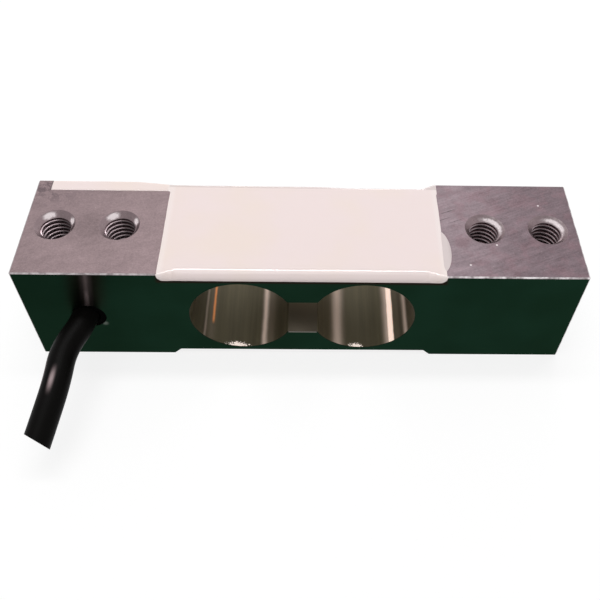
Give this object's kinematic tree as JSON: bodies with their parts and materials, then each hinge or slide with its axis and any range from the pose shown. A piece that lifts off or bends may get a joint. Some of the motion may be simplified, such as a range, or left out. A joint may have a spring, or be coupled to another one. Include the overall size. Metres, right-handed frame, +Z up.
{
  "type": "single point load cell",
  "caption": "Aluminium beam with joined cross bores that senses weight through strain gauges under white silicone, with tapped mounting holes at its ends and a side cable.",
  "frame": {"origin": "middle of the underside, on the plane of the lower mounting faces", "axes": "+X along the beam to the load end, +Y to the back with the wire grooves, away from the cable, +Z up"},
  "size_m": [0.13, 0.0617, 0.0312],
  "materials": {
    "aluminium": "milled mounting faces and bores, dark green coat on the sides",
    "silicone": "glossy",
    "gauge_film": "clear amber film with a fine metal grid",
    "board": "solder mask with tinned pads",
    "ceramic": "ceramic with tinned end caps",
    "red_pvc": "satin",
    "black_pvc": "satin",
    "green_pvc": "satin",
    "white_pvc": "satin",
    "yellow_pvc": "satin",
    "copper_wire": "bright",
    "solder": "bright",
    "seal": "semi-gloss",
    "cable_pvc": "smooth, glossy"
  },
  "bodies": {
    "root": {"beam_body": "aluminium", "top_silicone": "silicone", "bottom_silicone": "silicone", "strain_gauge_top_cable_end": "gauge_film", "strain_gauge_top_load_end": "gauge_film", "strain_gauge_bottom_load_end": "gauge_film", "strain_gauge_bottom_cable_end": "gauge_film", "terminal_board_top": "board", "terminal_board_bottom": "board", "zero_balance_resistor": "ceramic", "span_resistor": "ceramic", "core_red": "red_pvc", "core_black": "black_pvc", "core_green": "green_pvc", "core_white": "white_pvc", "link_wires": "yellow_pvc", "gauge_leads_top": "copper_wire", "gauge_leads_bottom": "copper_wire", "solder_joints_top": "solder", "solder_joints_bottom": "solder", "cable_seal": "seal", "cable_jacket": "cable_pvc"}
  },
  "joints": []
}
